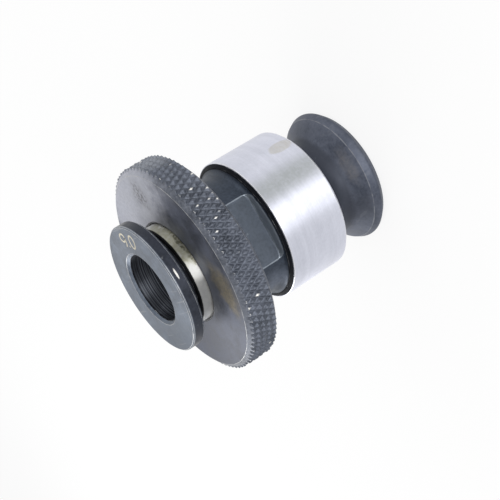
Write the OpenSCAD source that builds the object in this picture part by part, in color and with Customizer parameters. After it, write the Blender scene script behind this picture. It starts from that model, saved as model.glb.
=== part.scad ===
// Quick-change tap adapter: ground shank, knurled flange and a press-to-release ball lock.
// Millimetres. The axis is Z, the tail stands on Z = 0 and the tap goes in from above.
// The two spanner flats face -Y and +Y.

/* [Tail knob and groove] */
// Largest diameter of the tail knob
tail_d = 18; // [17.6:0.1:18.4]
// Chamfer round the end face
tail_chamfer = 0.8; // [0.5:0.1:1]
// Straight rim in front of the chamfer
tail_rim = 0.25; // [0.15:0.05:0.5]
// Diameter of the ridge where the flare starts
ridge_d = 17; // [16.6:0.1:17.4]
// Length of the sloped band from rim to ridge
ridge_len = 0.8; // [0.6:0.1:1]
// Angle of the flare from the axis
flare_angle = 50; // [46:1:56]
// Smallest diameter of the retention groove
neck_d = 12.6; // [12.2:0.1:13]
// Radius of the retention groove
groove_r = 2.4; // [2.2:0.1:2.6]

/* [Ground shank] */
// Shank diameter, the size the chuck holds
shank_d = 19; // [18.8:0.1:20]
// Shank length with its chamfers
shank_len = 8.85; // [8:0.05:10]
// Chamfer at the tail side of the shank
shank_chamfer = 0.3; // [0.2:0.05:0.4]
// Length of the front chamfer down to the black collar
shank_lead = 0.25; // [0.15:0.05:0.35]

/* [Hub] */
// Diameter of the black collar in front of the shank
collar_d = 17.9; // [17.7:0.1:18.2]
// Length of the collar before its fillet
collar_len = 0.1; // [0.05:0.05:0.3]
// Fillet between collar and hub
hub_fillet = 0.8; // [0.6:0.05:1]
// Hub diameter behind the flange
hub_d = 16.5; // [16.3:0.1:16.7]
// Length from the ground shank to the flange
hub_len = 5.8; // [5.6:0.1:6.4]
// Size across the two spanner flats
flats_af = 14; // [13.8:0.1:14.4]
// Width of the cutter that makes a flat
flat_w = 9.1; // [9:0.1:9.6]
// Start of the flats above the ground shank
flat_start = 0.3; // [0.2:0.05:0.45]
// Length of the flats
flat_len = 3.65; // [3.2:0.05:3.8]
// Rounding of the flats' lower corners
flat_corner = 0.9; // [0.6:0.1:1.2]

/* [Knurled flange] */
// Diameter over the knurl points
flange_d = 28; // [27.4:0.1:29]
// Flange thickness
flange_w = 4.35; // [4.3:0.05:4.8]
// Diameter of the flat front face
face_d = 26.2; // [25.8:0.1:26.6]
// Length of the plain bevel at each edge
flange_bevel = 0.5; // [0.4:0.05:0.6]
// Number of knurl points round the rim
knurl_n = 94; // [80:1:100]
// Depth of the knurl grooves
knurl_depth = 0.36; // [0.25:0.01:0.4]
// Share of the knurl height kept at the two ends
knurl_end = 0.7; // [0.5:0.05:0.8]
// Diameter of the screwed spigot the flange sits on
spigot_d = 19; // [18.8:0.1:19.4]
// Length of the spigot inside the flange
spigot_len = 1.95; // [1.9:0.05:2]
// Length of the bearing land in the front wall
land_len = 0.5; // [0.45:0.05:0.6]
// Edge break at the mouth of the front wall
mouth_chamfer = 0.15; // [0.1:0.05:0.2]
// Diameter of the dowel that locks the flange
pin_d = 1.2; // [1:0.1:1.3]
// Height of the dowel above the flange's rear face
pin_h = 1.05; // [1:0.05:1.1]
// Depth of the dowel in the spigot
pin_depth = 1.2; // [1:0.1:1.4]
// Depth of the dowel's outer end below the knurl
pin_sunk = 0.2; // [0.1:0.05:0.4]

/* [Release sleeve] */
// Diameter of the press disc
disc_d = 17.1; // [16.6:0.1:17.6]
// Thickness of the press disc
disc_t = 1.7; // [1.6:0.05:2]
// Edge break of the press disc
disc_edge = 0.25; // [0.15:0.05:0.35]
// Wall of the dark neck behind the disc
boss_wall = 0.5; // [0.4:0.05:0.6]
// Length of the dark neck
boss_len = 1.2; // [1:0.05:1.3]
// Diameter of the bright barrel
barrel_d = 13.2; // [13.1:0.05:13.3]
// Length of barrel standing out of the flange at rest
barrel_out = 1.35; // [1.2:0.05:1.5]
// Diameter of the pressed joint between disc and barrel
joint_d = 10.8; // [10.6:0.1:11]
// Length of the lip in front of the pressed joint
lip_len = 0.5; // [0.45:0.05:0.6]
// Lead-in chamfer at the mouth of the tap bore
bore_chamfer = 0.4; // [0.3:0.05:0.4]

/* [Ball lock] */
// Shank diameter of the tap that is held
tap_d = 9; // [8.9:0.05:9.1]
// How far a ball stands out of the barrel at rest
ball_proud = 0.45; // [0.4:0.05:0.5]
// Space between the bearing land and the balls
ball_front = 0.2; // [0.15:0.05:0.25]
// Half angle of the taper that closes the balls
taper_angle = 12; // [10:1:13]
// Travel of the sleeve when the disc is pressed
press_stroke = 1.8; // [1.5:0.1:1.8]
// Wall of the barrel behind the ball pockets
cage_wall = 0.6; // [0.5:0.05:0.7]
// Length of the guide skirt below the barrel
skirt_len = 2.25; // [2:0.05:2.3]
// Diameter of the guide skirt
skirt_d = 11.8; // [11.6:0.1:11.9]
// Thickness of the inner lip that keeps a ball in its pocket
pocket_lip = 0.3; // [0.2:0.05:0.35]
// Diameter of the opening in that lip
lip_hole = 2.1; // [2:0.05:2.15]

/* [Spring] */
// Thickness of the thrust washer on the spring
washer_t = 0.6; // [0.5:0.05:0.7]
// Wire diameter
wire_d = 0.8; // [0.7:0.05:0.8]
// Mean diameter of the coil
coil_d = 10.7; // [10.6:0.1:10.8]
// Turns, with one closed turn at each end
turns = 5.6; // [5:0.1:5.8]
// Length of the spring at rest
spring_len = 7.1; // [7:0.1:7.4]

/* [Square drive] */
// Size of the tap's square
square_af = 7.1; // [6.9:0.1:7.1]
// Diameter of the hole drilled before the square is cut
square_drill_d = 9.5; // [9.4:0.1:9.7]
// Length of the round guide above the square
guide_len = 1; // [0.8:0.1:1.2]
// Depth of the round relief in the end face
relief_len = 1.6; // [1.2:0.1:2]
// Diameter of that relief
relief_d = 9.9; // [9.8:0.1:10.2]

/* [Fits] */
// Radial clearance of the tap in its bore
tap_clear = 0.03; // [0.02:0.01:0.04]
// Radial clearance of the sliding sleeve
sleeve_clear = 0.05; // [0.03:0.01:0.06]
// Clearance round a ball in its pocket and its taper
ball_clear = 0.05; // [0.04:0.01:0.06]
// Clearance of the tap's square on each side
square_clear = 0.05; // [0.03:0.01:0.1]
// Space left behind the fully pressed sleeve
end_clear = 0.15; // [0.1:0.05:0.2]
// Radial clearance of the washer in the spring bore
washer_clear = 0.08; // [0.05:0.01:0.1]
// Radial clearance of the washer round the tap
washer_tap_clear = 0.2; // [0.15:0.05:0.25]

/* [Hidden] */
$fa = 3;
$fs = 0.2;
eps = 0.01;
ball_n = 6;
arc_step = 10;
core_step = 0.04;
knurl_margin = 0.05;
knurl_root = 0.5;

// The barrel's wall sets the balls, and the balls set the pockets, taper and ball room
ball_d = barrel_d/2 + ball_proud - tap_d/2 - ball_clear;
ball_r = ball_d/2;

// Heights from the tail up
rim_z = tail_chamfer + tail_rim;
ridge_z = rim_z + ridge_len;
groove_c = neck_d/2 + groove_r;
groove_z = ridge_z + (groove_r - (groove_c - ridge_d/2)*cos(flare_angle))/sin(flare_angle);
shank_z = groove_z + groove_r;
collar_z = shank_z + shank_len;
flange_z = collar_z + hub_len;
spigot_z = flange_z + spigot_len;
face_z = flange_z + flange_w;
barrel_z = face_z + barrel_out;
disc_z = barrel_z + boss_len;
front_z = disc_z + disc_t;
ball_z = face_z - land_len - ball_front - ball_r;
cage_z = ball_z - ball_r - ball_clear - cage_wall;
skirt_z = cage_z - skirt_len;
washer_z = skirt_z - washer_t;
spring_z = washer_z - spring_len;
socket_z = spring_z - guide_len;

// Radii that follow from the fits
tap_r = tap_d/2 + tap_clear;
boss_r = joint_d/2 + boss_wall;
ball_ring = tap_d/2 + ball_clear + ball_r;
ball_out = press_stroke*tan(taper_angle);
mouth_r = barrel_d/2 + sleeve_clear;
taper_r = ball_ring + (ball_r + ball_clear)/cos(taper_angle);
ball_room_r = ball_ring + ball_out + ball_r + ball_clear;
ball_room_z = ball_z - press_stroke - ball_r - end_clear;
cage_room_z = cage_z - press_stroke - end_clear;
spring_bore_r = skirt_d/2 + sleeve_clear;
land_z = face_z - land_len;
knurl_r = flange_d/2 - knurl_depth;
core_r = knurl_r - core_step;
pin_tip_r = spigot_d/2 - pin_depth;
pin_end_r = core_r - pin_sunk;
bronze = [0.42, 0.40, 0.37];
black = [0.16, 0.17, 0.18];
bright = [0.78, 0.78, 0.76];

// Points of an arc in the half section, from angle a to angle b
function arc(c, r, a, b) =
    let (n = ceil(abs(b - a)/arc_step))
    [for (i = [0:n]) c + r*[cos(a + (b - a)*i/n), sin(a + (b - a)*i/n)]];

// Radius of the locking taper at height z
function taper_at(z) = taper_r + (ball_z - z)*tan(taper_angle);

// Adapter body: tail knob, retention groove, ground shank, collar, hub and screwed spigot
module shank_body() {
    fillet_low = acos((collar_d - hub_d)/2/hub_fillet - 1);
    fillet_z = collar_z + collar_len + hub_fillet*sin(fillet_low);
    color(bright) difference() {
        rotate_extrude() polygon(concat(
            [[0, 0], [tail_d/2 - tail_chamfer, 0], [tail_d/2, tail_chamfer], [tail_d/2, rim_z],
             [ridge_d/2, ridge_z]],
            arc([groove_c, groove_z], groove_r, 180 + flare_angle, 90),
            [[shank_d/2 - shank_chamfer, shank_z], [shank_d/2, shank_z + shank_chamfer],
             [shank_d/2, collar_z - shank_lead], [collar_d/2, collar_z]],
            arc([hub_d/2 + hub_fillet, fillet_z], hub_fillet, 360 - fillet_low, 180),
            [[hub_d/2, flange_z], [spigot_d/2, flange_z], [spigot_d/2, spigot_z], [0, spigot_z]]));
        body_bores();
        for (side = [0, 1]) mirror([0, side, 0]) spanner_flat();
        pin_hole();
    }
}

// Ball room, cage room, spring bore, tap guide, square socket and end relief
module body_bores() {
    rotate_extrude() polygon([
        [0, spigot_z + eps], [ball_room_r, spigot_z + eps], [ball_room_r, ball_room_z],
        [mouth_r, ball_room_z], [mouth_r, cage_room_z], [spring_bore_r, cage_room_z],
        [spring_bore_r, spring_z], [tap_r, spring_z], [tap_r, socket_z], [0, socket_z]]);
    translate([0, 0, relief_len - eps]) linear_extrude(socket_z - relief_len + 2*eps) intersection() {
        square(square_af + 2*square_clear, center = true);
        circle(d = square_drill_d);
    }
    translate([0, 0, -eps]) cylinder(h = relief_len + eps, d = relief_d);
}

// One flat on the -Y side, with the rounded corners its cutter leaves
module spanner_flat() {
    low = collar_z + flat_start;
    w = flat_w/2 - flat_corner;
    translate([0, -flats_af/2, 0]) rotate([90, 0, 0]) linear_extrude(collar_d)
        polygon(concat(
            arc([-w, low + flat_corner], flat_corner, 180, 270),
            arc([w, low + flat_corner], flat_corner, 270, 360),
            [[flat_w/2, low + flat_len], [-flat_w/2, low + flat_len]]));
}

// Blind hole for the locking dowel, on the +Y side
module pin_hole() {
    translate([0, pin_tip_r, flange_z + pin_h]) rotate([-90, 0, 0])
        cylinder(h = flange_d, d = pin_d);
}

// Flange: screwed on the spigot, its front wall guides the barrel and its taper closes the balls
module knurled_flange() {
    color(black) difference() {
        union() {
            rotate_extrude() polygon([
                [spigot_d/2 + mouth_chamfer, flange_z], [face_d/2, flange_z],
                [core_r, flange_z + flange_bevel], [core_r, face_z - flange_bevel], [face_d/2, face_z],
                [mouth_r + mouth_chamfer, face_z], [mouth_r, face_z - mouth_chamfer], [mouth_r, land_z],
                [taper_at(land_z), land_z], [taper_at(spigot_z), spigot_z], [spigot_d/2, spigot_z],
                [spigot_d/2, flange_z + mouth_chamfer]]);
            knurl();
        }
        pin_hole();
    }
}

// Diamond knurl: pyramids on a lattice of crossing helical grooves
module knurl() {
    cols = 2*knurl_n;
    rows = 4;
    low = flange_z + flange_bevel + knurl_margin;
    step = (flange_w - 2*flange_bevel - 2*knurl_margin)/rows;
    inner_r = core_r - knurl_root;
    function height(i, j) = (i + j)%2 == 1 ? 0 : (j == 0 || j == rows) ? knurl_end : 1;
    function at(r, i, z) = [r*cos(i*360/cols), r*sin(i*360/cols), z];
    function id(i, j) = j*cols + i%cols;
    skin = [for (j = [0:rows], i = [0:cols - 1])
        at(knurl_r + knurl_depth*height(i, j), i, low + j*step)];
    back = [for (j = [0, rows], i = [0:cols - 1]) at(inner_r, i, low + j*step)];
    sides = [for (j = [0:rows - 1], i = [0:cols - 1], k = [0, 1])
        (i + j)%2 == 0
            ? (k == 0 ? [id(i, j), id(i, j + 1), id(i + 1, j)]
                      : [id(i + 1, j), id(i, j + 1), id(i + 1, j + 1)])
            : (k == 0 ? [id(i, j), id(i + 1, j + 1), id(i + 1, j)]
                      : [id(i, j), id(i, j + 1), id(i + 1, j + 1)])];
    lower = [for (i = [0:cols - 1])
        [id(i, 0), id(i + 1, 0), id(i + 1, rows + 1), id(i, rows + 1)]];
    upper = [for (i = [0:cols - 1])
        [id(i, rows), id(i, rows + 2), id(i + 1, rows + 2), id(i + 1, rows)]];
    inside = [for (i = [0:cols - 1])
        [id(i, rows + 1), id(i + 1, rows + 1), id(i + 1, rows + 2), id(i, rows + 2)]];
    polyhedron(concat(skin, back), concat(sides, lower, upper, inside));
}

// Dowel that stops the flange from unscrewing
module flange_pin() {
    color(bright) translate([0, pin_tip_r, flange_z + pin_h]) rotate([-90, 0, 0])
        cylinder(h = pin_end_r - pin_tip_r, d = pin_d);
}

// Bright barrel: ball cage, guide skirt and the spigot the disc is pressed on
module cage_sleeve() {
    color(bright) difference() {
        rotate_extrude() polygon([
            [tap_r, skirt_z], [skirt_d/2, skirt_z], [skirt_d/2, cage_z], [barrel_d/2, cage_z],
            [barrel_d/2, barrel_z - mouth_chamfer], [barrel_d/2 - mouth_chamfer, barrel_z],
            [joint_d/2, barrel_z], [joint_d/2, front_z - lip_len], [tap_r, front_z - lip_len]]);
        for (i = [0:ball_n - 1]) rotate(i*360/ball_n) translate([0, 0, ball_z]) rotate([0, 90, 0]) {
            cylinder(h = barrel_d, d = lip_hole);
            translate([0, 0, tap_r + pocket_lip]) cylinder(h = barrel_d, d = ball_d + 2*ball_clear);
        }
    }
}

// Black press disc with its neck, and the chamfered mouth of the tap bore
module release_disc() {
    color(black) rotate_extrude() polygon([
        [joint_d/2, barrel_z], [boss_r, barrel_z], [boss_r, disc_z],
        [disc_d/2 - disc_edge, disc_z], [disc_d/2, disc_z + disc_edge],
        [disc_d/2, front_z - disc_edge], [disc_d/2 - disc_edge, front_z],
        [tap_r + bore_chamfer, front_z], [tap_r, front_z - bore_chamfer],
        [tap_r, front_z - lip_len], [joint_d/2, front_z - lip_len]]);
}

// Washer between spring and skirt, on which the sleeve turns
module thrust_washer() {
    color(bronze) translate([0, 0, washer_z]) difference() {
        cylinder(h = washer_t, r = spring_bore_r - washer_clear);
        translate([0, 0, -eps]) cylinder(h = washer_t + 2*eps, r = tap_r + washer_tap_clear);
    }
}

// Compression spring: one closed turn at each end and an even pitch between
module lock_spring() {
    per_turn = 24;
    sides = 8;
    n = round(turns*per_turn);
    rise = spring_len - wire_d;
    closed = wire_d*1.03;
    function height(t) = t < 1 ? closed*t
        : t > turns - 1 ? rise - closed*(turns - t)
        : closed + (rise - 2*closed)*(t - 1)/(turns - 2);
    points = [for (k = [0:n], s = [0:sides - 1])
        let (t = k/per_turn, a = 360*t, b = 360*s/sides, r = coil_d/2 + wire_d/2*cos(b))
        [r*cos(a), r*sin(a), spring_z + wire_d/2 + height(min(t, turns)) + wire_d/2*sin(b)]];
    tube = [for (k = [0:n - 1], s = [0:sides - 1])
        [k*sides + s, k*sides + (s + 1)%sides, (k + 1)*sides + (s + 1)%sides, (k + 1)*sides + s]];
    first = [for (s = [sides - 1:-1:0]) s];
    last = [for (s = [0:sides - 1]) n*sides + s];
    color(bronze) polyhedron(points, concat(tube, [first, last]));
}

// One ball at rest, just clear of the tap
module lock_ball(i) {
    color(bright) rotate((i - 1)*360/ball_n) translate([ball_ring, 0, ball_z]) sphere(r = ball_r);
}

shank_body();
knurled_flange();
flange_pin();
cage_sleeve();
release_disc();
thrust_washer();
lock_spring();
lock_ball(1);  // lock_ball_1
lock_ball(2);  // lock_ball_2
lock_ball(3);  // lock_ball_3
lock_ball(4);  // lock_ball_4
lock_ball(5);  // lock_ball_5
lock_ball(6);  // lock_ball_6
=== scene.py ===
import bpy
import numpy as np
from mathutils import Matrix


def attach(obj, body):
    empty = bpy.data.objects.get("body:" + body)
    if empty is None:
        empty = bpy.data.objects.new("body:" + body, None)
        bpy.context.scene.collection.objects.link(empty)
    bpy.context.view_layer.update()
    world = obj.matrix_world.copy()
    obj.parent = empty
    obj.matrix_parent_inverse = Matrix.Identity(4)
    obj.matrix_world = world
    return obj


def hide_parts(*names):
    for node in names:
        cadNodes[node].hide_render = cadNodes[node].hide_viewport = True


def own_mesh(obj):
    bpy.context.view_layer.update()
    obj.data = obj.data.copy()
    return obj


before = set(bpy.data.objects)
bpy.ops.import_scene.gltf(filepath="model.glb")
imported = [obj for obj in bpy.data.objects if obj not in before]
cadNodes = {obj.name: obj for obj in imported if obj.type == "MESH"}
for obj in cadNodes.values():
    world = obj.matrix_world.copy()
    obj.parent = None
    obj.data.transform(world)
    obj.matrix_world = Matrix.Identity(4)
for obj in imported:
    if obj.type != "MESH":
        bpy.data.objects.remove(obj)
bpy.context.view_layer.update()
scene = bpy.context.scene
scene.view_settings.view_transform = "Standard"
print("frame loaded,", len(cadNodes), "solids")


# mesh tools, all in millimetres until the mesh is written

gridSize = {"support": 0.03, "wornFillet": 0.5, "smallFillet": 0.055, "crest": (0.2, 0.8), "nearRow": 0.02,
            "leastGap": 0.004, "uvLength": 10}


def roundedLoop(corners, steps):
    # Closed half section from rows of (r, z, fillet). A corner c becomes the arc between a and b on its
    # two sides: ((1-s)^2 a + 2 w s(1-s) c + s^2 b) / ((1-s)^2 + 2 w s(1-s) + s^2), w = sine of half its angle.
    rows = np.array(corners, float)
    p, fillet = rows[:, :2], rows[:, 2]
    back, ahead = np.roll(p, 1, 0) - p, np.roll(p, -1, 0) - p
    back /= np.linalg.norm(back, axis=1)[:, None]
    ahead /= np.linalg.norm(ahead, axis=1)[:, None]
    half = np.arccos(np.clip((back * ahead).sum(1), -1, 1)) / 2
    reach = (fillet / np.tan(half))[:, None]
    a, b = p + back * reach, p + ahead * reach
    s = np.linspace(0, 1, steps)[None, :, None]
    w = np.sin(half)[:, None, None]
    weights = (1 - s) ** 2, 2 * w * s * (1 - s), s ** 2
    arc = (weights[0] * a[:, None] + weights[1] * p[:, None] + weights[2] * b[:, None]) / sum(weights)
    before, after = a + back * gridSize["support"], b + ahead * gridSize["support"]
    points = np.concatenate([before[:, None], arc, after[:, None]], 1)
    outside = back[:, 0] * ahead[:, 1] - back[:, 1] * ahead[:, 0] < 0  # corners that a hand can touch
    crest = np.r_[0, np.sin(np.pi * np.linspace(*gridSize["crest"], steps)), 0]
    edge = (outside & (fillet < gridSize["wornFillet"]))[:, None] * crest[None]
    few = np.isin(np.arange(steps + 2), [0, 1, steps // 2, steps // 2 + 1, steps, steps + 1])
    keep = (fillet > gridSize["smallFillet"])[:, None] | few[None]  # the smallest fillets need fewer rows
    return points[keep], edge[keep]


def addRows(section, sides, coarse):
    # More rows along the loop: the lengths of the corners, an even spacing, and given heights on given
    # sides are merged, and r, z and edge are read back by interpolation along the length.
    loop, edge = section
    closed = np.vstack([loop, loop[:1]])
    length = np.r_[0, np.cumsum(np.linalg.norm(np.diff(closed, axis=0), axis=1))]
    extra = [np.arange(0, length[-1], coarse)]
    for side, heights in sides:
        on = np.flatnonzero(side(loop[:, 0], loop[:, 1]))
        on = on[np.argsort(loop[on, 1])]
        extra.append(np.interp(heights, loop[on, 1], length[on]))
    more = np.concatenate(extra)
    gap = np.abs(more[:, None] - length[None]).min(1)
    cut = np.unique(np.round(np.r_[length[:-1], more[gap > gridSize["nearRow"]]], 4))
    cut = cut[np.r_[True, np.diff(cut) > gridSize["leastGap"]]]
    columns = closed[:, 0], closed[:, 1], np.r_[edge, edge[0]]
    return *(np.interp(cut, length, column) for column in columns), np.r_[cut, length[-1]]


def insideOut(points, faces):
    # The volume over every face's first three corners, seen from the middle, is below zero
    a, b, c = (points[faces[:, n]] - points.mean(0) for n in range(3))
    return (a * np.cross(b, c)).sum() < 0


def newMesh(name, points, faces):
    mesh = bpy.data.meshes.new(name)
    mesh.from_pydata((points / 1000).tolist(), [], faces)
    return mesh


def place(name, data):
    holder = bpy.data.objects.new(name, data)
    scene.collection.objects.link(holder)
    return holder


def addPiece(mesh):
    print(mesh.name, len(mesh.polygons), "faces")
    return place(mesh.name, mesh)


def turnedPiece(name, rows, t, shape, zones, creases=None):
    # Surface of revolution on a grid of rows by angles: x = R cos t, y = R sin t, z = Z, where
    # shape(r, z, edge, t) gives R, wear, and paleness with painted light, of every grid point. Both directions close on
    # themselves.
    r, z, edge, length = rows
    count, columns = len(r), len(t)
    turn = np.r_[t, 2 * np.pi] / (2 * np.pi)
    radius, wear, paleAndPaintedLight = shape(r[:, None], z[:, None], edge[:, None], t[None])
    points = np.stack([radius * np.cos(t), radius * np.sin(t), np.broadcast_to(z[:, None], radius.shape)], -1)
    points = points.reshape(-1, 3)
    i, j = np.meshgrid(np.arange(count), np.arange(columns), indexing="ij")
    here, above, k = i * columns, (i + 1) % count * columns, (j + 1) % columns
    corner = np.stack([here + j, here + k, above + k, above + j], -1)
    u = np.stack([turn[j], turn[j + 1], turn[j + 1], turn[j]], -1)
    v = np.stack([length[i], length[i], length[i + 1], length[i + 1]], -1) / gridSize["uvLength"]
    if creases is None:
        order = np.array([[[[0, 1, 2, 3]]]])
    else:  # triangles, split along the knurl's grooves
        order = np.where(creases(i, j)[..., None, None], [[0, 1, 3], [1, 2, 3]], [[0, 1, 2], [0, 2, 3]])
    perCell, sides = order.shape[2:]
    faces, across, along = (np.take_along_axis(q[:, :, None], order, -1).reshape(-1, sides) for q in (corner, u, v))
    uv = np.stack([across, along], -1)
    if insideOut(points, faces):
        faces, uv = faces[:, ::-1], uv[:, ::-1]
    mesh = newMesh(name, points, faces.tolist())
    mesh.polygons.foreach_set("use_smooth", np.ones(len(faces), bool))
    mesh.uv_layers.new(name="turned").data.foreach_set("uv", uv.reshape(-1).astype(np.float32))
    for label, values in (("wear", wear), ("paleAndPaintedLight", paleAndPaintedLight)):
        layer = mesh.attributes.new(label, "FLOAT", "POINT")
        layer.data.foreach_set("value", values.reshape(-1).astype(np.float32))
    middle = (r + np.roll(r, -1)) / 2, (z + np.roll(z, -1)) / 2
    which = np.zeros(count, int)
    for n, (material, zone) in enumerate(zones):
        mesh.materials.append(material)
        which[zone(*middle)] = n
    mesh.polygons.foreach_set("material_index", np.repeat(which, columns * perCell).astype(np.int32))
    mesh.update()
    return addPiece(mesh)


def evenTurn(columns):
    return np.arange(columns) * 2 * np.pi / columns


def plainTurn(r, z, edge, t):
    # The same radius all round
    return r + 0 * t, edge + 0 * t, 0 * r + 0 * t


# shader tools

def fill(tree, socket, value):
    if isinstance(value, bpy.types.NodeSocket):
        tree.links.new(value, socket)
    else:
        socket.default_value = value


def put(tree, kind, inputs=None, **settings):
    node = tree.nodes.new(kind)
    for key, value in settings.items():
        setattr(node, key, value)
    for key, value in (inputs or {}).items():
        fill(tree, node.inputs[key], value)
    return node


def sums(tree, operation, a, b=0.5, clamp=False):
    return put(tree, "ShaderNodeMath", {0: a, 1: b}, operation=operation, use_clamp=clamp).outputs[0]


def plus(tree, a, b, clamp=False):
    return sums(tree, "ADD", a, b, clamp)


def minus(tree, a, b, clamp=False):
    return sums(tree, "SUBTRACT", a, b, clamp)


def times(tree, a, b):
    return sums(tree, "MULTIPLY", a, b)


def ramp(tree, value, low, high, start=0.0, end=1.0):
    node = put(tree, "ShaderNodeMapRange", {"Value": value, "From Min": low, "From Max": high,
                                            "To Min": start, "To Max": end}, interpolation_type="SMOOTHSTEP")
    return node.outputs["Result"]


def blendColor(tree, factor, a, b):
    node = put(tree, "ShaderNodeMix", data_type="RGBA", blend_type="MIX")
    for n, value in ((0, factor), (6, a), (7, b)):  # the factor and the two colours
        fill(tree, node.inputs[n], value)
    return node.outputs[2]


def unevenness(tree, where, scale, detail, **more):
    inputs = {"Vector": where, "Scale": scale, "Detail": detail, **more}
    return put(tree, "ShaderNodeTexNoise", inputs).outputs["Fac"]


def ownPlace(tree):
    return put(tree, "ShaderNodeTexCoord").outputs["Object"]


def newGroup(name, inputs, outputs):
    group = bpy.data.node_groups.new(name, "ShaderNodeTree")
    for label, value in inputs.items():
        kind = "NodeSocketVector" if isinstance(value, tuple) else "NodeSocketFloat"
        group.interface.new_socket(name=label, in_out="INPUT", socket_type=kind).default_value = value
    for label in outputs:
        group.interface.new_socket(name=label, in_out="OUTPUT", socket_type="NodeSocketFloat")
    return group, group.nodes.new("NodeGroupInput").outputs, group.nodes.new("NodeGroupOutput").inputs


def edgeWearGroup():
    # Bare metal where the piece's own wear value is high, broken up by noise
    spread, soft, start = 1.4, (-0.12, 0.25), (0.05, 0.3)
    group, given, out = newGroup("edgeWear", {"Amount": 0.6, "Scale": 900.0}, ["Mask"])
    wear = put(group, "ShaderNodeAttribute", attribute_name="wear").outputs["Fac"]
    broken = times(group, minus(group, unevenness(group, ownPlace(group), given["Scale"], 4.0), 0.5), spread)
    chance = plus(group, minus(group, 1.0, given["Amount"]), broken)
    mask = ramp(group, minus(group, wear, chance), *soft)
    group.links.new(times(group, mask, ramp(group, wear, *start)), out["Mask"])
    return group


def turnedLinesGroup():
    # Fine tool lines that run round the axis: noise along the section's length, almost constant round it
    wideScale, fineShare = 0.13, 0.6
    group, given, out = newGroup("turnedLines", {"Lines": 300.0, "Breaks": 9.0}, ["Height", "Tone"])
    uv = put(group, "ShaderNodeSeparateXYZ", {0: put(group, "ShaderNodeTexCoord").outputs["UV"]}).outputs
    angle = times(group, uv["X"], 2 * np.pi)
    ring = [times(group, sums(group, way, angle), given["Breaks"]) for way in ("COSINE", "SINE")]
    along = times(group, uv["Y"], given["Lines"])
    where = put(group, "ShaderNodeCombineXYZ", {"X": ring[0], "Y": ring[1], "Z": along}).outputs[0]
    fine = unevenness(group, where, 1.0, 3.0, Roughness=0.7)
    wide = unevenness(group, where, wideScale, 2.0)
    group.links.new(fine, out["Height"])
    group.links.new(plus(group, times(group, fine, fineShare), times(group, wide, 1 - fineShare)), out["Tone"])
    return group


def cloudsGroup():
    # Slow patches of oil and handling, and the fine grain of the oxide
    group, given, out = newGroup("oxideClouds", {"Patch": 160.0, "Grain": 3500.0}, ["Patches", "Grains"])
    where = ownPlace(group)
    patch = unevenness(group, where, given["Patch"], 6.0, Roughness=0.62, Distortion=0.6)
    group.links.new(ramp(group, patch, 0.3, 0.7), out["Patches"])
    group.links.new(unevenness(group, where, given["Grain"], 2.0), out["Grains"])
    return group


def scratchesGroup():
    # Thin bright scratches in two directions: stretched noise cut off near its top
    turns, stretch = ((0.2, 0.5, 0.6), (0.7, -0.4, 2.1)), (1.0, 0.06, 1.0)
    top, perShare, soft = 0.82, 0.3, 0.06
    group, given, out = newGroup("fineScratches", {"Scale": 700.0, "Share": 0.3}, ["Mask"])
    where = ownPlace(group)
    masks = []
    for turn in turns:
        turned = put(group, "ShaderNodeMapping", {"Vector": where, "Rotation": turn, "Scale": stretch}).outputs[0]
        start = minus(group, top, times(group, given["Share"], perShare))
        masks.append(ramp(group, minus(group, unevenness(group, turned, given["Scale"], 2.0), start), 0.0, soft))
    group.links.new(sums(group, "MAXIMUM", *masks), out["Mask"])
    return group


def spotGroup():
    # One mark, a stain, a rub, painted shade or a painted highlight: distance from its centre, stretched by its size,
    # with a ragged soft rim and speckles
    rimScale, speckleScale, speckleCut = 700.0, 2600.0, (0.4, 0.62)
    group, given, out = newGroup("spotMark", {"Centre": (0, 0, 0), "Size": (1, 1, 1), "Ragged": 0.5, "Soft": 0.5,
                                              "Speckle": 0.3}, ["Mask"])
    where = ownPlace(group)
    offset = put(group, "ShaderNodeVectorMath", {0: where, 1: given["Centre"]}, operation="SUBTRACT").outputs[0]
    scaled = put(group, "ShaderNodeVectorMath", {0: offset, 1: given["Size"]}, operation="DIVIDE").outputs[0]
    far = put(group, "ShaderNodeVectorMath", {0: scaled}, operation="LENGTH").outputs["Value"]
    rough = minus(group, unevenness(group, where, rimScale, 5.0, Roughness=0.65), 0.5)
    reach = plus(group, far, times(group, times(group, rough, given["Ragged"]), 2.0))
    mask = ramp(group, sums(group, "DIVIDE", minus(group, 1.0, reach), given["Soft"]), 0.0, 1.0)
    fine = unevenness(group, where, speckleScale, 3.0)
    holes = times(group, ramp(group, fine, *speckleCut), given["Speckle"])
    group.links.new(times(group, mask, minus(group, 1.0, holes)), out["Mask"])
    return group


effects = {"wear": edgeWearGroup(), "lines": turnedLinesGroup(), "clouds": cloudsGroup(),
           "scratches": scratchesGroup(), "spot": spotGroup()}


def effect(tree, name, **inputs):
    node = put(tree, "ShaderNodeGroup", node_tree=effects[name])
    for key, value in inputs.items():
        node.inputs[key].default_value = value
    return node.outputs


# finishes

# A mark for a real stain or rub, and also for painted shade, a painted highlight or a painted reflection
def stainAndLightMark(centre, size, color, strength, ragged, soft, speckle, rougher=0.0):
    return {"centre": centre, "size": size, "color": color, "strength": strength, "ragged": ragged, "soft": soft,
            "speckle": speckle, "rougher": rougher}


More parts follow.
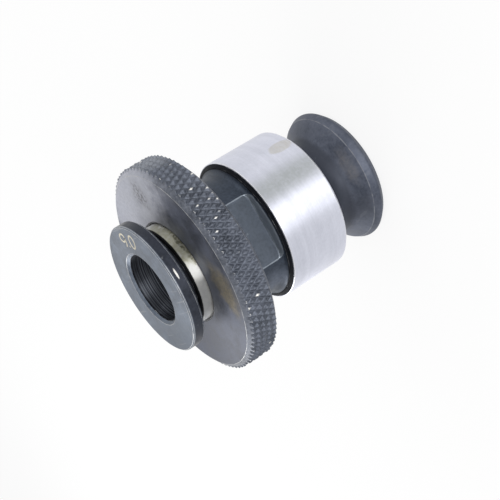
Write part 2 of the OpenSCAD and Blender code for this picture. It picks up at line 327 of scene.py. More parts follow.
oxideLook = {"dark": (0.075, 0.084, 0.102), "light": (0.17, 0.185, 0.215), "bare": (0.42, 0.43, 0.45),
             "patch": 420.0, "grain": 3200.0, "patchTone": 0.7, "lineTone": 0.5, "lineMiddle": 0.35, "grainTone": 0.9,
             "grainMiddle": 0.45, "lines": 130.0, "breaks": 1.2, "scratchScale": 700.0, "scratchShare": 0.3,
             "scratchTone": 0.35, "wear": 0.55, "wearScale": 900.0, "wearShine": 0.1, "rough": (0.34, 0.5),
             "lineBump": 0.5, "grainBump": 0.6, "bump": 0.5, "bumpHeight": 0.02, "brushed": 0.35, "metal": 0.6,
             "shine": 0.5, "boreRadius": 0, "boreRings": 6500.0, "boreDark": (0.05, 0.055, 0.07),
             "boreLight": (0.28, 0.3, 0.34), "paleAndLightShare": 0, "paleAndLightColor": (0.6, 0.66, 0.73), "marks": []}


def markedSurface(tree, color, rough, marks):
    for mark in marks:
        spot = effect(tree, "spot", Centre=[q / 1000 for q in mark["centre"]], Size=[q / 1000 for q in mark["size"]],
                      Ragged=mark["ragged"], Soft=mark["soft"], Speckle=mark["speckle"])["Mask"]
        spot = times(tree, spot, mark["strength"])
        color = blendColor(tree, spot, color, (*mark["color"], 1))
        rough = plus(tree, rough, times(tree, spot, mark["rougher"]), True)
    return color, rough


def darkBore(tree, color, look):
    # Painted shade: inside boreRadius the surface is dark, with rings along the axis
    axes = put(tree, "ShaderNodeSeparateXYZ", {0: ownPlace(tree)}).outputs
    square = plus(tree, times(tree, axes["X"], axes["X"]), times(tree, axes["Y"], axes["Y"]))
    start = look["boreRadius"] / 1000
    outside = ramp(tree, sums(tree, "SQRT", square), start, start + 0.0003)
    along = put(tree, "ShaderNodeCombineXYZ", {"Z": axes["Z"]}).outputs[0]
    rings = ramp(tree, unevenness(tree, along, look["boreRings"], 3.0), 0.4, 0.7)
    inner = blendColor(tree, rings, (*look["boreDark"], 1), (*look["boreLight"], 1))
    return blendColor(tree, outside, inner, color)


def metalFinish(name, look):
    # A turned metal: two tones, tool lines, scratches, bare edges and any marks, real stains as well as painted shade
    # and highlights, on one Principled shader
    material = bpy.data.materials.new(name)
    material.use_nodes = True
    tree = material.node_tree
    shader = tree.nodes["Principled BSDF"]
    clouds = effect(tree, "clouds", Patch=look["patch"], Grain=look["grain"])
    lines = effect(tree, "lines", Lines=look["lines"], Breaks=look["breaks"])
    scratches = effect(tree, "scratches", Scale=look["scratchScale"], Share=look["scratchShare"])["Mask"]
    wear = effect(tree, "wear", Amount=look["wear"], Scale=look["wearScale"])["Mask"]
    tone = plus(tree, times(tree, clouds["Patches"], look["patchTone"]),
                times(tree, minus(tree, lines["Tone"], look["lineMiddle"]), look["lineTone"]))
    grain = times(tree, minus(tree, clouds["Grains"], look["grainMiddle"]), look["grainTone"])
    color = blendColor(tree, plus(tree, tone, grain, True), (*look["dark"], 1), (*look["light"], 1))
    mixed = plus(tree, times(tree, clouds["Patches"], 0.5), times(tree, clouds["Grains"], 0.5))
    rough = ramp(tree, mixed, 0.2, 0.8, *look["rough"])
    color, rough = markedSurface(tree, color, rough, look["marks"])
    if look["paleAndLightShare"] > 0:  # painted light on the flats' end walls, which face into shade, and the flats a little paler
        paleAndPaintedLight = put(tree, "ShaderNodeAttribute", attribute_name="paleAndPaintedLight").outputs["Fac"]
        color = blendColor(tree, times(tree, paleAndPaintedLight, look["paleAndLightShare"]), color, (*look["paleAndLightColor"], 1))
    if look["boreRadius"] > 0:
        color = darkBore(tree, color, look)
    for mask in (times(tree, scratches, look["scratchTone"]), wear):
        color = blendColor(tree, mask, color, (*look["bare"], 1))
    rough = minus(tree, rough, times(tree, wear, look["wearShine"]), True)
    height = plus(tree, times(tree, lines["Height"], look["lineBump"]),
                  times(tree, clouds["Grains"], look["grainBump"]))
    bump = put(tree, "ShaderNodeBump", {"Strength": look["bump"], "Distance": look["bumpHeight"] / 1000,
                                        "Height": height})
    tangent = put(tree, "ShaderNodeTangent", direction_type="RADIAL", axis="Z")
    for label, value in (("Metallic", look["metal"]), ("Specular IOR Level", look["shine"]),
                         ("Anisotropic", look["brushed"]), ("Anisotropic Rotation", 0.25),  # across the tool lines
                         ("Tangent", tangent.outputs[0]), ("Base Color", color), ("Roughness", rough),
                         ("Normal", bump.outputs[0])):
        fill(tree, shader.inputs[label], value)
    return material


# painted highlight: a white glint on the disc's rim
rimGlint = stainAndLightMark((0.74, -8.53, 29.69), (0.85, 0.8, 0.16), (0.8, 0.78, 0.74),  # on the disc's rim
             strength=0.95, ragged=0.25, soft=0.4, speckle=0.2, rougher=-0.1)
discLook = {**oxideLook, "dark": (0.07, 0.087, 0.116), "light": (0.2, 0.23, 0.28), "scratchScale": 1800.0,
            "scratchShare": 0.5, "scratchTone": 0.22, "wear": 0.5, "wearScale": 1300.0, "bare": (0.42, 0.42, 0.42),
            "marks": [rimGlint,
                      # painted shade: one half of the disc's face darker
                      stainAndLightMark((-8.5, 0, 30.4), (7.5, 11.0, 3.0), (0.064, 0.083, 0.113),  # dark half
                            strength=0.8, ragged=0.4, soft=0.9, speckle=0.1, rougher=0.05)]}
# painted shade: the disc's side and back edge get a far darker copy of its oxide
shadedRimLook = {**oxideLook, "dark": (0.014, 0.017, 0.026), "light": (0.04, 0.046, 0.064), "wear": 0.4, "marks": [rimGlint]}

# painted highlight: a bright sector of sheen across the flange's face and bevels
paintedSheen = stainAndLightMark((11.0, 2.2, 26.2), (10.0, 12.5, 3.0), (0.42, 0.432, 0.492),  # of the flange
                 strength=0.85, ragged=0.35, soft=0.6, speckle=0.15)
faceLook = {**oxideLook, "dark": (0.055, 0.062, 0.085), "light": (0.122, 0.135, 0.178), "brushed": 0.6, "wear": 0.45,
            "bare": (0.34, 0.35, 0.38),
            "marks": [paintedSheen,
                      # painted shade: a dark reflection on the face beside the disc
                      stainAndLightMark((10.4, -1.6, 26.2), (3.0, 2.8, 1.0), (0.10, 0.10, 0.105),  # dark
                            strength=0.75, ragged=0.6, soft=0.9, speckle=0.9, rougher=0.1),
                      stainAndLightMark((-3.5, -10.1, 26.2), (4.3, 2.7, 1.0), (0.25, 0.215, 0.145),  # ochre
                            strength=0.8, ragged=0.6, soft=0.7, speckle=0.35, rougher=0.05),
                      # painted shadow: a near black ring round the hole, where the face meets the barrel
                      stainAndLightMark((0, 0, 26.2), (6.96, 6.96, 9.0), (0.01, 0.011, 0.014),  # hole's edge
                            strength=0.94, ragged=0.01, soft=0.01, speckle=0.0, rougher=0.15)]}
bevelLook = {**faceLook, "dark": (0.055, 0.062, 0.079), "light": (0.145, 0.158, 0.19), "grainTone": 1.6, "wear": 0.28,
             "wearScale": 1100.0, "bare": (0.4, 0.4, 0.39), "marks": [paintedSheen]}
# bare: the colour of rubbed tips, which also stands for painted glints
knurlLook = {**oxideLook, "dark": (0.062, 0.071, 0.09), "light": (0.148, 0.164, 0.204), "bare": (0.74, 0.73, 0.7),
             "wear": 0.5, "wearScale": 1400.0, "lines": 40.0, "lineBump": 0.1, "brushed": 0.0, "scratchShare": 0.1,
             "rough": (0.42, 0.58),
             # painted light: one side of the knurl lighter
             "marks": [stainAndLightMark((13.2, -2.0, 24.0), (3.4, 6.5, 5.0), (0.32, 0.34, 0.38),  # pale side
                             strength=0.7, ragged=0.4, soft=0.7, speckle=0.2)]}

# painted shade: the hub gets a much darker copy of the oxide, standing for its darker reflection
shadedHubLook = {**oxideLook, "dark": (0.018, 0.026, 0.04), "light": (0.05, 0.064, 0.09), "wear": 0.75,
           "bare": (0.22, 0.25, 0.29), "rough": (0.4, 0.55), "paleAndLightShare": 0.9, "grainTone": 1.5,
           # painted reflection: one side of the hub lighter
           "marks": [stainAndLightMark((-6.8, -4.7, 17.6), (3.2, 3.0, 4.0), (0.15, 0.175, 0.23),  # pale side
                           strength=0.6, ragged=0.4, soft=0.9, speckle=0.3)]}
tailLook = {**oxideLook, "dark": (0.05, 0.059, 0.083), "light": (0.12, 0.133, 0.172), "rough": (0.44, 0.58),
            "brushed": 0.2, "scratchShare": 0.55, "scratchTone": 0.2, "wear": 0.24, "bare": (0.16, 0.17, 0.195),
            # painted shade: one side of the knob darker
            "marks": [stainAndLightMark((-5.0, -5.5, 2.6), (3.6, 3.6, 3.0), (0.04, 0.045, 0.06),  # dark side
                            strength=0.6, ragged=0.4, soft=0.9, speckle=0.1),
                      stainAndLightMark((1.0, -7.3, 2.7), (3.6, 1.6, 1.0), (0.195, 0.19, 0.195),  # rub
                            strength=0.5, ragged=0.6, soft=0.8, speckle=0.4, rougher=0.05),
                      # painted shade: the groove next to the shank darkened
                      stainAndLightMark((0, 0, 6.5), (12.0, 12.0, 4.2), (0.028, 0.032, 0.044),  # groove
                            strength=0.72, ragged=0.06, soft=0.2, speckle=0.0, rougher=0.05)]}
# oxide with painted shade, near black: the bores, the disc's neck and the band between shank and hub
oxideInShadeLook = {**oxideLook, "dark": (0.007, 0.008, 0.011), "light": (0.018, 0.02, 0.026), "wear": 0.0, "scratchShare": 0.0,
            "shine": 0.15, "rough": (0.6, 0.75)}
shankLook = {**oxideLook, "metal": 1.0, "dark": (0.55, 0.565, 0.64), "light": (0.83, 0.845, 0.94),
             "bare": (0.8, 0.8, 0.82), "patch": 90.0, "patchTone": 0.45, "lineTone": 1.0, "grainTone": 0.35,
             "lines": 120.0, "breaks": 3.5, "scratchShare": 0.12, "scratchTone": 0.3, "rough": (0.34, 0.46),
             "lineBump": 0.8, "grainBump": 0.2, "brushed": 0.85, "wear": 0.8,
             # painted shade: a darker band beside the highlight streak, for a dark reflection
             "marks": [stainAndLightMark((3.5, -8.8, 11.5), (2.9, 2.0, 14.0), (0.34, 0.37, 0.345),  # grey strip
                             strength=0.6, ragged=0.1, soft=0.9, speckle=0.2),
                       stainAndLightMark((7.06, -6.36, 9.1), (1.05, 1.05, 1.9), (0.46, 0.41, 0.25),  # leaf
                             strength=0.34, ragged=0.16, soft=0.25, speckle=0.2, rougher=0.08)]}

barrelLook = {**shankLook, "boreRadius": 5.3, "dark": (0.5, 0.5, 0.48), "light": (0.8, 0.8, 0.78), "rough": (0.3, 0.45),
              "marks": [stainAndLightMark((4.5, -4.9, 26.9), (4.4, 4.2, 2.4), (0.41, 0.4, 0.27),  # oil
                              strength=0.8, ragged=0.8, soft=0.35, speckle=0.35, rougher=-0.05),
                        stainAndLightMark((4.1, -5.8, 26.25), (3.2, 2.0, 0.45), (0.05, 0.05, 0.03),  # dark patch where the barrel leaves the flange
                              strength=0.7, ragged=1.2, soft=0.4, speckle=0.5),
                        # painted shadow: the barrel's front edge under the disc made near black
                        stainAndLightMark((0, 0, 28.32), (30.0, 30.0, 0.95), (0.012, 0.013, 0.018),  # front
                              strength=0.97, ragged=0.02, soft=0.08, speckle=0.0, rougher=0.1)]}
innerLook = {**oxideLook, "metal": 1.0, "dark": (0.1, 0.1, 0.1), "light": (0.2, 0.2, 0.2), "wear": 0.0}
bronzeLook = {**innerLook, "dark": (0.40, 0.27, 0.12), "light": (0.62, 0.45, 0.22)}
ballLook = {**innerLook, "dark": (0.6, 0.6, 0.6), "light": (0.82, 0.82, 0.82), "rough": (0.08, 0.14)}

finishes = {name: metalFinish(name, look) for name, look in (
    ("discOxide", discLook), ("shadedRimOxide", shadedRimLook), ("faceOxide", faceLook), ("bevelOxide", bevelLook),
    ("knurlOxide", knurlLook), ("shadedHubOxide", shadedHubLook), ("tailOxide", tailLook), ("oxideInShade", oxideInShadeLook),
    ("groundShank", shankLook), ("groundBarrel", barrelLook), ("springWire", innerLook),
    ("washerBronze", bronzeLook), ("polishedBall", ballLook))}
print(len(finishes), "finishes made")


# adapter body: tail knob, groove, ground shank, collar, hub with two flats, and the bores

bodySize = {"flatDistance": 7.0, "flatLow": 16.365, "flatHigh": 20.015, "flatMiddle": 18, "flatHalfWidth": 4.55,
            "flatCorner": 1.2, "flatBreak": 0.02, "wallDepth": 0.2, "sideLine": 0.045, "wallLine": 0.085,
            "footTone": 0.8, "footReach": 0.6, "footWidth": 0.2, "rimWidth": 0.3, "milledTone": 0.07,
            "milledWidth": 0.05, "hubRadius": 8.25, "square": 3.6, "columns": 236, "coarse": 1.5, "leastTurn": 0.002,
            "tailTop": 7.2, "shankTop": 15.94, "shankRadius": 9.0, "bandTop": 16.35, "bandRadius": 8.72,
            "boreRadius": 5.5, "chamberLow": 12.3, "chamberRadius": 8.0, "hubTop": 21.8, "hubBand": (8, 9.3),
            "hubLow": 16, "socketBand": (4.7, 4.8), "socketSpan": (1.55, 11.45)}
bodyCorners = [
    (4.95, 0, 0.08), (8.2, 0, 0.25), (9.0, 0.95, 0.5), (8.53, 1.85, 0.48), (6.3, 3.74, 2.3), (6.3, 7.215, 2.3),
    (9.2, 7.215, 0.05), (9.5, 7.515, 0.08), (9.5, 15.815, 0.06), (8.95, 16.065, 0.04), (8.95, 16.165, 0.03),
    (8.25, 16.253, 0.76), (8.25, 21.865, 0.05), (9.5, 21.865, 0.05), (9.5, 23.815, 0.05), (7.4826, 23.815, 0.05),
    (7.4826, 21.065, 0.05), (6.65, 21.065, 0.05), (6.65, 20.415, 0.05), (5.95, 20.415, 0.05), (5.95, 12.415, 0.05),
    (4.53, 12.415, 0.05), (4.53, 11.415, 0.04), (4.75, 11.415, 0.04), (4.75, 1.6, 0.04), (4.95, 1.6, 0.04)]


def within(value, low, high):
    return (value > low) & (value < high)


def bodyShape(r, z, edge, t):
    # Hub: inside the cutter's outline, a box with two rounded lower corners measured by its signed distance, the
    # radius drops to flatDistance / |sin t|. Socket: the radius is the smaller of the drill's and the square's,
    # square / max(|cos t|, |sin t|).
    size = bodySize
    sine = np.where(np.abs(np.sin(t)) < 1e-3, 1e-3, np.sin(t))
    reach = size["flatDistance"] / np.abs(sine)
    c = size["flatCorner"]
    across = np.abs(reach * np.cos(t)) - (size["flatHalfWidth"] - c) + 0 * z
    below = size["flatLow"] + c - z + 0 * t
    beyond = np.hypot(np.maximum(across, 0), np.maximum(below, 0)) + np.minimum(np.maximum(across, below), 0) - c
    inside = np.minimum(-beyond, size["flatHigh"] - z)
    hub = within(r, *size["hubBand"]) & (z > size["hubLow"])
    k = size["flatBreak"]
    depth = np.sqrt(1 - (1 - np.clip(inside / size["wallDepth"], 0, 1)) ** 2) * hub  # the cutter's round foot
    radius = r + depth * (-k * np.logaddexp(-r / k, -reach / k) - r)
    square = size["square"] / np.maximum(np.abs(np.cos(t)), np.abs(np.sin(t)))
    socket = within(r, *size["socketBand"]) & within(z, *size["socketSpan"])
    radius = np.where(socket, np.minimum(r, square), radius)
    side = np.exp(-((r - reach) / size["sideLine"]) ** 2) * (inside > 0)
    wall = np.exp(-(inside / size["wallLine"]) ** 2) * (r > reach)
    wear = np.maximum(edge + 0 * t, np.maximum(side, wall) * hub)
    lower = z < size["flatMiddle"]  # only the lower end wall gets painted light, most at its outer edge
    foot = size["footTone"] * np.clip((r - reach) / size["footReach"], 0, 1)
    foot = foot * np.clip((1 - depth) / size["footWidth"], 0, 1) * lower
    rim = np.exp(-(depth / size["rimWidth"]) ** 2) * lower
    milled = size["milledTone"] * np.clip(inside / size["milledWidth"], 0, 1)  # the flat itself is a little lighter
    paleAndPaintedLight = hub * (inside > 0) * (r > reach) * np.maximum(np.maximum(foot, rim), milled)
    return radius, wear, paleAndPaintedLight


def bodyTurns():
    # Even angles, and finer ones where the flats meet the hub
    flatEdge = np.arcsin(bodySize["flatDistance"] / bodySize["hubRadius"])
    fine = np.radians(np.r_[np.arange(-8, -1.2, 0.4), np.arange(-1.2, 1.2, 0.2), np.arange(1.2, 2.4, 0.4)])
    t = np.concatenate([evenTurn(bodySize["columns"]), flatEdge + fine, np.pi - flatEdge - fine,
                        np.pi + flatEdge + fine, 2 * np.pi - flatEdge - fine])
    t = np.unique(np.round(t, 5))
    return t[np.r_[True, np.diff(t) > bodySize["leastTurn"]]]


hubRows = np.r_[np.arange(17.0, 17.65, 0.06), np.arange(17.7, 19.8, 0.3), np.arange(19.8, 20.05, 0.03),
                20.1, 20.17, 20.27]
footRows = np.r_[np.arange(16.2, 16.96, 0.05), 16.36, 16.367, 16.376, 16.39]
bodyRows = addRows(roundedLoop(bodyCorners, 8), [
    (lambda r, z: (abs(r - bodySize["hubRadius"]) < 0.01) & (z > 16.8), hubRows),
    (lambda r, z: within(r, 8.245, 8.96) & within(z, 16.1, 17.0), footRows)], bodySize["coarse"])
body = turnedPiece("adapterBody", bodyRows, bodyTurns(), bodyShape, [
    (finishes["shadedHubOxide"], lambda r, z: r > 0),
    (finishes["tailOxide"], lambda r, z: (z < bodySize["tailTop"]) & (r > bodySize["boreRadius"])),
    (finishes["oxideInShade"], lambda r, z: (r < bodySize["boreRadius"]) | (z > bodySize["hubTop"])
     | ((r < bodySize["chamberRadius"]) & (z > bodySize["chamberLow"]))),
    (finishes["groundShank"], lambda r, z: (r > bodySize["shankRadius"])
     & within(z, bodySize["tailTop"], bodySize["shankTop"])),
    # painted shade: the band between the shank and the hub
    (finishes["oxideInShade"], lambda r, z: (r > bodySize["bandRadius"])
     & within(z, bodySize["shankTop"], bodySize["bandTop"]))])
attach(body, "adapter")
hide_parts("shank_body")


# knurled flange: flat front wall, diamond knurl between two bevels, taper for the balls inside

flangeSize = {"teeth": 94, "perHalf": 4, "halfRows": 4, "root": 13.47, "depth": 0.51, "low": 22.415, "high": 25.665,
              "flat": 0.84, "worn": 0.14, "cutTips": 0.3, "rim": 13.6, "back": 21.865, "front": 26.215, "face": 13.1,
              "bevel": 0.38, "bevelRise": (1.3, 2), "seam": 0.06, "bareAndGlintFrom": 0.82, "pinHeight": 22.915,
              "pinRadius": 0.58, "pinEnd": 13.4, "pinWear": 0.9, "coarse": 3.0, "taperRadius": 9.6, "taperTop": 26.0,
              "bevelRadius": 13.06, "bevelLow": 22.38, "bevelHigh": 25.7, "bevelBand": (13.13, 13.59),
              "knurlRadius": 13.5, "knurlSpan": (22.36, 25.72), "margin": (0.02, 0.035), "bareAndGlintTips": (5.5, 4.5),
              "otherTips": 0.3, "tipRamp": (2.2, 1.2), "seamShare": (0.4, 0.6)}
tipLuck = np.random.default_rng(12).random((flangeSize["teeth"], flangeSize["teeth"]))  # one number per tip
flangeCorners = [
    (9.65, 21.865, 0.05), (13.1, 21.865, 0.06), (13.6, 22.365, 0.1), (13.6, 25.715, 0.1), (13.1, 26.215, 0.08),
    (6.8, 26.215, 0.05), (6.65, 26.065, 0.04), (6.65, 25.715, 0.04), (6.82, 25.715, 0.04), (7.225, 23.815, 0.04),
    (9.5, 23.815, 0.05), (9.5, 22.015, 0.05)]


def knurlShape(r, z, edge, t):
    # Pyramids on a lattice of crossing grooves: with a and b counted in half pitches round and along, even and odd
    # are the distances from the two sets of grooves, and the smaller is the height, cut flat where tips are worn.
    # The radius is the lower of the knurl and the turned band, which falls by a bevel at both ends.
    size = flangeSize
    a = t * size["teeth"] / np.pi
    b = (z - size["low"]) / (size["high"] - size["low"]) * size["halfRows"]
    even, odd = np.abs((a + b) % 2 - 1), np.abs((a - b) % 2 - 1)
    height = np.minimum(np.minimum(even, odd), size["flat"]) / size["flat"]
    m, n = (np.rint(q / 2).astype(int) % size["teeth"] for q in (a + b, a - b))
    luck = tipLuck[m, n]
    waves = np.sin(9 * t + 3 * np.sin(4 * t)) * np.sin(2.3 * z + 5 * t)
    worn = size["worn"] * (1 + waves)  # slow patches with shallow grooves
    kept = np.minimum(height, 1 - size["cutTips"] * tipLuck[n, m] ** 2)
    carved = size["root"] + size["depth"] * np.maximum(kept, worn)
    inward = np.minimum(size["front"] - z, z - size["back"])
    first, second = size["bevelRise"]
    band = size["face"] + first * np.minimum(inward, size["bevel"]) + second * np.maximum(inward - size["bevel"], 0)
    band = band + 0 * t
    outer = (r > size["face"] + size["margin"][0]) & (inward > size["margin"][1])
    rise, start = size["bareAndGlintTips"]  # few tips are rubbed bare and carry painted glints, most hardly
    rubbedAndGlinting = np.where(luck > size["bareAndGlintFrom"], rise * luck - start, size["otherTips"] * luck)
    rise, start = size["tipRamp"]
    tips = np.clip(height * rise - start, 0, 1) * rubbedAndGlinting
    least, more = size["seamShare"]  # the seam is where the bevel cuts the teeth
    seam = np.exp(-((carved - band) / size["seam"]) ** 2) * (least + more * luck)
    wear = np.where(outer, np.where(carved < band, tips, seam), edge + 0 * t)
    fromPin = np.hypot((t - np.pi / 2) * size["rim"], z - size["pinHeight"])
    hole = outer & (fromPin < size["pinRadius"])  # dowel, seen in its hole
    radius = np.where(outer, np.minimum(carved, band), r + 0 * t)
    return np.where(hole, size["pinEnd"], radius), np.where(hole, size["pinWear"], wear), 0 * radius


def knurlCreases(i, j):
    return (i + j) % 2 == 0


rowSteps = flangeSize["halfRows"] * flangeSize["perHalf"] * 2
latticeRows = np.linspace(flangeSize["low"], flangeSize["high"], rowSteps + 1)
frontRows, backRows = np.arange(25.77, 26.16, 0.055), np.arange(21.92, 22.32, 0.055)
flangeRows = addRows(roundedLoop(flangeCorners, 5), [
    (lambda r, z: abs(r - flangeSize["rim"]) < 0.001, latticeRows),
    (lambda r, z: within(r, *flangeSize["bevelBand"]) & (z > flangeSize["bevelHigh"]), frontRows),
    (lambda r, z: within(r, *flangeSize["bevelBand"]) & (z < flangeSize["low"]), backRows)], flangeSize["coarse"])
flangeTurns = evenTurn(flangeSize["teeth"] * 2 * flangeSize["perHalf"])
flange = turnedPiece("flangeRing", flangeRows, flangeTurns, knurlShape, [
    (finishes["faceOxide"], lambda r, z: r > 0),
    (finishes["oxideInShade"], lambda r, z: (r < flangeSize["taperRadius"]) & (z < flangeSize["taperTop"])),
    (finishes["bevelOxide"], lambda r, z: (r > flangeSize["bevelRadius"])
     & ((z > flangeSize["bevelHigh"]) | (z < flangeSize["bevelLow"]))),
    (finishes["knurlOxide"], lambda r, z: (r > flangeSize["knurlRadius"]) & within(z, *flangeSize["knurlSpan"]))
], knurlCreases)
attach(flange, "adapter")
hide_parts("knurled_flange")


# press disc with its neck

discSize = {"columns": 256, "coarse": 0.8, "rimRadius": 8.45, "rimTop": 30.2, "neckTop": 28.78, "boreRadius": 4.6}
discCorners = [
    (5.4, 27.565, 0.04), (5.9, 27.565, 0.05), (5.9, 28.765, 0.08), (8.3, 28.765, 0.06), (8.55, 29.015, 0.08),
    (8.55, 30.3, 0.06), (8.41, 30.45, 0.06), (4.93, 30.45, 0.06), (4.53, 30.06, 0.06), (4.53, 29.965, 0.03),
    (5.4, 29.965, 0.04)]
discRows = addRows(roundedLoop(discCorners, 6), [], discSize["coarse"])
disc = turnedPiece("pressDisc", discRows, evenTurn(discSize["columns"]), plainTurn, [
    (finishes["discOxide"], lambda r, z: r > 0),
    (finishes["shadedRimOxide"], lambda r, z: (r > discSize["rimRadius"]) & (z < discSize["rimTop"])),
    (finishes["oxideInShade"], lambda r, z: (z < discSize["neckTop"]) | (r < discSize["boreRadius"]))])
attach(disc, "sleeve")
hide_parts("release_disc")


# plain size number on the disc, thin painted strokes just above its face

markSize = {"stretch": 2.1, "height": 1.75, "ring": 5.85, "bend": 6.5, "low": 30.43, "high": 30.459, "width": 0.28,
            "top": 0.8, "points": 33, "dark": (0.46, 0.42, 0.32), "light": (0.76, 0.71, 0.58), "rough": (0.45, 0.75),
            "patch": 900.0, "grain": 5000.0}


def markStrokes():
    # A nine, a point and a nought in letter units: a loop is centre + radius (cos a, sin a), a tail is a polyline
    a = np.linspace(0, 2 * np.pi, markSize["points"])
    nine = np.stack([0.3 + 0.28 * np.cos(a), 0.7 + 0.3 * np.sin(a)], 1)
    tail = np.array([(0.58, 0.55), (0.53, 0.25), (0.36, 0.02)])
    point = np.array([(0.80, 0.05), (0.85, 0.05), (0.90, 0.05)])
    nought = np.stack([1.36 + 0.27 * np.cos(a), 0.5 + 0.5 * np.sin(a)], 1)
    return [np.vstack([nine, tail]), point, nought]


def markPaint():
    paint = bpy.data.materials.new("markPaint")
    paint.use_nodes = True
    tree = paint.node_tree
    shader = tree.nodes["Principled BSDF"]
    clouds = effect(tree, "clouds", Patch=markSize["patch"], Grain=markSize["grain"])
    color = blendColor(tree, clouds["Patches"], (*markSize["dark"], 1), (*markSize["light"], 1))
    tree.links.new(color, shader.inputs["Base Color"])
    tree.links.new(ramp(tree, clouds["Grains"], 0.2, 0.8, *markSize["rough"]), shader.inputs["Roughness"])
    return paint


def makeMark():
    # Each stroke is a flat-topped ridge carried along its path: four profile points, side by side and above,
    # then bent round the disc: radius = ring + height v, angle = - stretch u / bend
    points, faces = [], []
    size = markSize
    for path in markStrokes():
        line = path * (size["stretch"], size["height"])
        run = np.gradient(line, axis=0)
        run /= np.linalg.norm(run, axis=1)[:, None]
        side = np.stack([-run[:, 1], run[:, 0]], 1) * size["width"] / 2
        flat = np.stack([line - side, line - size["top"] * side, line + size["top"] * side, line + side], 1)
        angle, radius = -flat[..., 0] / size["bend"], size["ring"] + flat[..., 1]
        height = np.broadcast_to([size["low"], size["high"], size["high"], size["low"]], angle.shape)
        first = sum(len(q) for q in points)
        points.append(np.stack([radius * np.cos(angle), radius * np.sin(angle), height], -1).reshape(-1, 3))
        i, k = np.meshgrid(np.arange(len(path) - 1), np.arange(4), indexing="ij")
        n = (k + 1) % 4
        quads = np.stack([i * 4 + k, i * 4 + n, i * 4 + 4 + n, i * 4 + 4 + k], -1).reshape(-1, 4)
        last = 4 * (len(path) - 1)
        ends = np.array([[3, 2, 1, 0], [last, last + 1, last + 2, last + 3]])
        faces.append(np.vstack([quads, ends]) + first)
    points, faces = np.vstack(points), np.vstack(faces)
    if insideOut(points, faces):
        faces = faces[:, ::-1]
    mesh = newMesh("sizeMark", points, faces.tolist())
    mesh.materials.append(markPaint())
    return addPiece(mesh)


mark = makeMark()
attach(mark, "sleeve")


# lock spring: a coil with closed ends

springSize = {"seat": 12.415, "length": 7.1, "wire": 0.8, "coil": 10.7, "turns": 5.6, "perTurn": 48, "sides": 16,
              "closed": 1.03, "pressed": 0.745}


def makeSpring():
    # The wire's centre goes round the axis at coil / 2. It rises just over one wire in the first and the last turn,
    # evenly between them, and carries a circle of the wire's radius.
    size = springSize
    turns, sides = size["turns"], size["sides"]
    t = np.linspace(0, turns, round(turns * size["perTurn"]) + 1)
    closed, rise = size["closed"] * size["wire"], size["length"] - size["wire"]
    centre = np.interp(t, [0, 1, turns - 1, turns], [0, closed, rise - closed, rise]) + size["wire"] / 2
    a, b = 2 * np.pi * t[:, None], 2 * np.pi * np.arange(sides)[None] / sides
    radius = size["coil"] / 2 + size["wire"] / 2 * np.cos(b)
    height = size["seat"] + centre[:, None] + size["wire"] / 2 * np.sin(b)
    points = np.stack([radius * np.cos(a), radius * np.sin(a), height + 0 * a], -1).reshape(-1, 3)
    i, k = np.meshgrid(np.arange(len(t) - 1), np.arange(sides), indexing="ij")
    first, n = i * sides, (k + 1) % sides
    quads = np.stack([first + k, first + sides + k, first + sides + n, first + n], -1).reshape(-1, 4)
    last = len(points) - 1
    ends = [np.arange(sides).tolist(), np.arange(last, last - sides, -1).tolist()]
    mesh = newMesh("coilSpring", points, quads.tolist() + ends)
    mesh.shade_smooth()
    mesh.materials.append(finishes["springWire"])
    return addPiece(mesh)


spring = makeSpring()
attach(spring, "adapter")
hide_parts("lock_spring")
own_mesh(spring)


# the other solids keep their shapes and get their finishes

for name, finish in (("cage_sleeve", "groundBarrel"), ("flange_pin", "groundBarrel"), ("thrust_washer", "washerBronze"),
                     *((f"lock_ball_{n}", "polishedBall") for n in range(1, 7))):
    cadNodes[name].data.materials.clear()
    cadNodes[name].data.materials.append(finishes[finish])
print("pieces done")


# floor, world, lamps and camera

studio = {"floorTone": 0.9, "floorHalf": 4, "floorLift": 0.86, "worldTone": 0.75, "target": (0, 0, 0.015),
          "upright": (0.1, 0.2, 1.0),
          "lamps": [("frontBox", (-0.028, -0.32, 0.07), (0.24, 0.12), 0.5),
                    ("backBox", (-0.16, 0.20, 0.185), (0.16, 0.16), 0.3),
                    ("sideBox", (0.30, -0.06, 0.16), (0.18, 0.18), 0.1)]}
view = {"place": (0.01130, -0.13214, 0.074795), "right": (-0.4955, -0.3926, -0.7749), "up": (0.8635, -0.1259, -0.4883),
        "back": (0.0941, -0.9110, 0.4014), "lens": 83.8, "sensor": 36.0, "clip": (0.005, 20.0)}


def whiteRays(tree):
    # 1 for rays that show the background: straight to the camera, mirrored or through glass
    rays = put(tree, "ShaderNodeLightPath").outputs
    seen = sums(tree, "MAXIMUM", rays["Is Camera Ray"], rays["Is Glossy Ray"])
    return sums(tree, "MAXIMUM", seen, rays["Is Transmission Ray"])


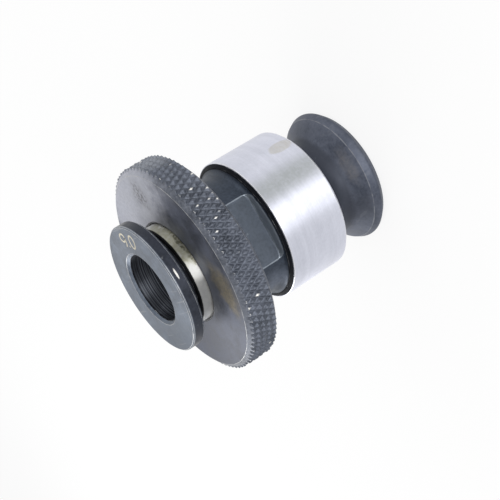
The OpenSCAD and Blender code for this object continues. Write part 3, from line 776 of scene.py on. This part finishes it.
def makeFloor():
    mesh = bpy.data.meshes.new("floor")
    h = studio["floorHalf"]
    mesh.from_pydata([(-h, -h, 0), (h, -h, 0), (h, h, 0), (-h, h, 0)], [], [(0, 1, 2, 3)])
    material = bpy.data.materials.new("paleFloor")
    material.use_nodes = True
    tree = material.node_tree
    tree.nodes.remove(tree.nodes["Principled BSDF"])
    matt = put(tree, "ShaderNodeBsdfDiffuse", {"Color": (*[studio["floorTone"]] * 3, 1)})
    glow = put(tree, "ShaderNodeEmission", {"Color": (1, 1, 1, 1), "Strength": 1.0})
    lift = times(tree, whiteRays(tree), studio["floorLift"])
    mixed = put(tree, "ShaderNodeMixShader", {0: lift, 1: matt.outputs[0], 2: glow.outputs[0]})
    tree.links.new(mixed.outputs[0], tree.nodes["Material Output"].inputs["Surface"])
    mesh.materials.append(material)
    floor = place("floor", mesh)


def makeWorld():
    world = bpy.data.worlds.new("studio")
    scene.world = world
    world.use_nodes = True
    tree = world.node_tree
    background = tree.nodes["Background"]
    strength = put(tree, "ShaderNodeMapRange", {"Value": whiteRays(tree), "To Min": studio["worldTone"], "To Max": 1.0})
    tree.links.new(strength.outputs["Result"], background.inputs["Strength"])
    background.inputs["Color"].default_value = (1, 1, 1, 1)


def stand(holder, where, axes):
    holder.matrix_world = Matrix.Translation(where) @ Matrix(np.stack(axes, 1).tolist()).to_4x4()


def makeLamps():
    # A lamp's back points away from the target, and its side lies across the upright direction
    for name, where, size, power in studio["lamps"]:
        lamp = bpy.data.lights.new(name, "AREA")
        lamp.shape, lamp.size, lamp.size_y, lamp.energy = "RECTANGLE", *size, power
        back = np.array(where) - np.array(studio["target"])
        back = back / np.linalg.norm(back)
        side = np.cross(studio["upright"], back)
        side /= np.linalg.norm(side)
        stand(place(name, lamp), where, [side, np.cross(back, side), back])


def makeCamera():
    data = bpy.data.cameras.new("photoView")
    data.lens, data.sensor_width = view["lens"], view["sensor"]
    data.clip_start, data.clip_end = view["clip"]
    camera = place("photoView", data)
    stand(camera, view["place"], [view["right"], view["up"], view["back"]])
    scene.camera = camera


makeFloor()
makeWorld()
makeLamps()
makeCamera()
print("stage set")
